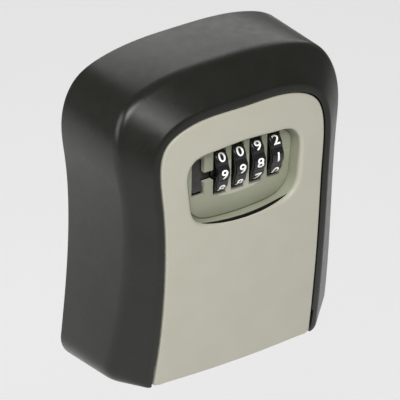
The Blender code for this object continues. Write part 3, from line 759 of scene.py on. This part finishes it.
def build_digits(number, x, front, material):
    """The ten white numerals of one dial, each just proud of its crest."""
    whole = bmesh.new()
    for digit in range(DIGITS):
        bm = digit_mesh(digit)
        faces = bmesh.ops.extrude_face_region(bm, geom=bm.faces[:])["geom"]
        for item in faces:
            if isinstance(item, bmesh.types.BMVert):
                item.co.z = 0.12
        turn = (digit - front) * 2 * math.pi / DIGITS
        for vertex in bm.verts:
            u, v, lift = vertex.co
            local = v / DIAL_RADIUS
            radius = dial_radius(local) - 0.08 + lift
            angle = local + turn
            vertex.co = (x + u, DIAL_Y - radius * math.cos(angle),
                         DIAL_Z + radius * math.sin(angle))
        mesh = bpy.data.meshes.new("numeral")
        bm.to_mesh(mesh)
        bm.free()
        whole.from_mesh(mesh)
    digits = new_object("dial_digits_%d" % number, whole)
    shade(digits)
    finish_piece(digits, "dial_%d_body" % number, "dial_plastic", [material])


# ---------------------------------------------------------------- lever and hardware

def build_lever(material):
    """Slider with a sloped thumb catch and an arm towards the dials, edges rounded."""
    face = FLOOR_Y + 1.7
    rear = face + 2.6
    behind = FLOOR_BACK_Y + PLAY
    profile = [(rear, LEVER_BOTTOM), (rear, LEVER_TOP), (behind, LEVER_TOP),
               (behind, LEVER_SLOT[1] - PLAY), (face, LEVER_SLOT[1] - PLAY),
               (face, LEVER_BOTTOM + 4.0), (FLOOR_Y + 0.1, LEVER_BOTTOM + 0.4),
               (FLOOR_Y + 0.1, LEVER_BOTTOM)]
    half = LEVER_WIDTH / 2
    lever = side_prism(profile, LEVER_X - half, LEVER_X + half, "lever_body")
    combine(lever, "UNION", block(LEVER_X, DIAL_X[0] - DIAL_WIDTH / 2 - PLAY, NOTCH[0] + 0.1,
                                  NOTCH[1] - 0.1, behind, behind + ARM_THICKNESS))
    bevel(lever, 0.25)
    shade(lever)
    finish_piece(lever, "bolt", "lever_plastic", [material], "release_lever")


def soften_node(node, body, slot, material, width):
    """Copy of a CAD node with its edges rounded, in place of the node."""
    obj = bpy.data.objects.new(node + "_piece", frame["nodes"][node].data.copy())
    bpy.context.scene.collection.objects.link(obj)
    bm = bmesh.new()
    bm.from_mesh(obj.data)
    bmesh.ops.remove_doubles(bm, verts=bm.verts, dist=0.01 * MM)
    bmesh.ops.dissolve_limit(bm, angle_limit=math.radians(1.0), verts=bm.verts, edges=bm.edges)
    bm.to_mesh(obj.data)
    bm.free()
    bevel(obj, width, 2, 40.0)
    shade(obj, 40.0)
    finish_piece(obj, body, slot, [material], node)


def build_hardware(materials):
    """Inner pieces, each a softened copy of its CAD solid; the two springs keep their CAD meshes,
    given steel and smooth shading.
    """
    pieces = [("lock_case", "door", "zinc", "zinc", 0.35),
              ("bolt_plate", "bolt", "zinc", "zinc", 0.15),
              ("reset_lever", "reset", "steel", "steel", 0.2),
              ("detent_spring", "door", "steel", "steel", 0.05),
              ("dial_shaft", "door", "steel", "steel", 0.2),
              ("hinge_pin", "box", "steel", "steel", 0.2),
              ("shaft_clip_1", "door", "steel", "steel", 0.08),
              ("shaft_clip_2", "door", "steel", "steel", 0.08)]
    pieces += [("case_screw_%d" % i, "door", "steel", "steel", 0.12) for i in range(1, 5)]
    pieces += [("dial_hub_%d" % i, "hub_%d_body" % i, "brass", "brass", 0.12)
               for i in range(1, 5)]
    for node, body, slot, material, width in pieces:
        soften_node(node, body, slot, materials[material], width)
    for node in ("hub_spring", "bolt_spring"):
        spring = frame["nodes"][node]
        spring.data.materials.clear()
        spring.data.materials.append(materials["steel"])
        spring.data.shade_smooth()


# ---------------------------------------------------------------- studio

def build_floor():
    """Plain pale floor under the box."""
    bm = bmesh.new()
    bmesh.ops.create_grid(bm, x_segments=1, y_segments=1, size=6000.0)
    floor = new_object("studio_floor", bm)
    floor.location.z = FLOOR_LEVEL
    material, shader = new_material("studio_floor", (0.93, 0.93, 0.93), 0.9)
    tree = material.node_tree
    tree.links.new(spread(tree, noise(tree, 3.0), 0.88, 0.92), shader.inputs["Roughness"])
    floor.data.materials.append(material)


def add_softbox(name, place, aim, size, power):
    """Square area light at a place, pointed at `aim`."""
    light = bpy.data.lights.new(name, "AREA")
    light.shape = "RECTANGLE"
    light.size, light.size_y = size
    light.energy = power
    obj = bpy.data.objects.new(name, light)
    bpy.context.scene.collection.objects.link(obj)
    obj.location = place
    obj.rotation_euler = (Vector(aim) - Vector(place)).to_track_quat("-Z", "Y").to_euler()


def build_studio():
    """Soft grey surroundings, shown white, with soft lights behind, at the left and in front."""
    build_floor()
    world = bpy.data.worlds.new("studio")
    world.use_nodes = True
    tree = world.node_tree
    surroundings = tree.nodes["Background"]
    surroundings.inputs["Color"].default_value = (1.0, 1.0, 1.0, 1.0)
    surroundings.inputs["Strength"].default_value = WORLD_LIGHT
    shown = tree.nodes.new("ShaderNodeBackground")
    path = tree.nodes.new("ShaderNodeLightPath")
    mix = tree.nodes.new("ShaderNodeMixShader")
    tree.links.new(path.outputs["Is Camera Ray"], mix.inputs[0])
    tree.links.new(surroundings.outputs[0], mix.inputs[1])
    tree.links.new(shown.outputs[0], mix.inputs[2])
    tree.links.new(mix.outputs[0], tree.nodes["World Output"].inputs["Surface"])
    shown.inputs["Color"].default_value = (1.0, 1.0, 1.0, 1.0)
    shown.inputs["Strength"].default_value = WORLD_SHOWN
    bpy.context.scene.world = world
    bpy.context.scene.view_settings.view_transform = "Standard"
    add_softbox("back_light", (0.9, 1.2, 0.9), (0.0, 0.0, 0.0), (1.6, 1.2), 8.0)
    add_softbox("left_light", (-1.5, 0.2, 0.7), (0.0, 0.0, 0.0), (0.9, 1.2), 13.0)
    add_softbox("key_light", (-0.6, -1.1, 1.5), (0.0, 0.0, 0.0), (1.1, 0.9), 31.0)


def build_camera():
    """Long lens in front, to the left and above."""
    azimuth = math.radians(CAMERA_AZIMUTH)
    elevation = math.radians(CAMERA_ELEVATION)
    back = Vector((math.sin(azimuth) * math.cos(elevation),
                   -math.cos(azimuth) * math.cos(elevation), math.sin(elevation)))
    right = Vector((math.cos(azimuth), math.sin(azimuth), 0.0))
    up = back.cross(right)
    turn = Matrix((right, up, back)).transposed() @ Matrix.Rotation(
        math.radians(CAMERA_ROLL), 3, "Z")
    camera = bpy.data.cameras.new("camera")
    camera.lens = CAMERA_LENS
    camera.sensor_width = CAMERA_SENSOR
    camera.shift_x, camera.shift_y = CAMERA_SHIFT
    camera.dof.use_dof = False
    obj = bpy.data.objects.new("camera", camera)
    bpy.context.scene.collection.objects.link(obj)
    obj.matrix_world = Matrix.Translation(CAMERA_TARGET + back * CAMERA_DISTANCE) @ turn.to_4x4()
    bpy.context.scene.camera = obj


# ---------------------------------------------------------------- assembly

def main():
    materials = build_materials()
    build_housing(materials["housing"])
    build_door(materials["door"], materials["pocket"], materials["seam"])
    for i, x in enumerate(DIAL_X):
        build_dial(i + 1, x, materials["dial"])
        build_digits(i + 1, x, FRONT_DIGITS[i], materials["digit"])
    build_lever(materials["lever"])
    build_hardware(materials)
    build_studio()
    build_camera()


main()
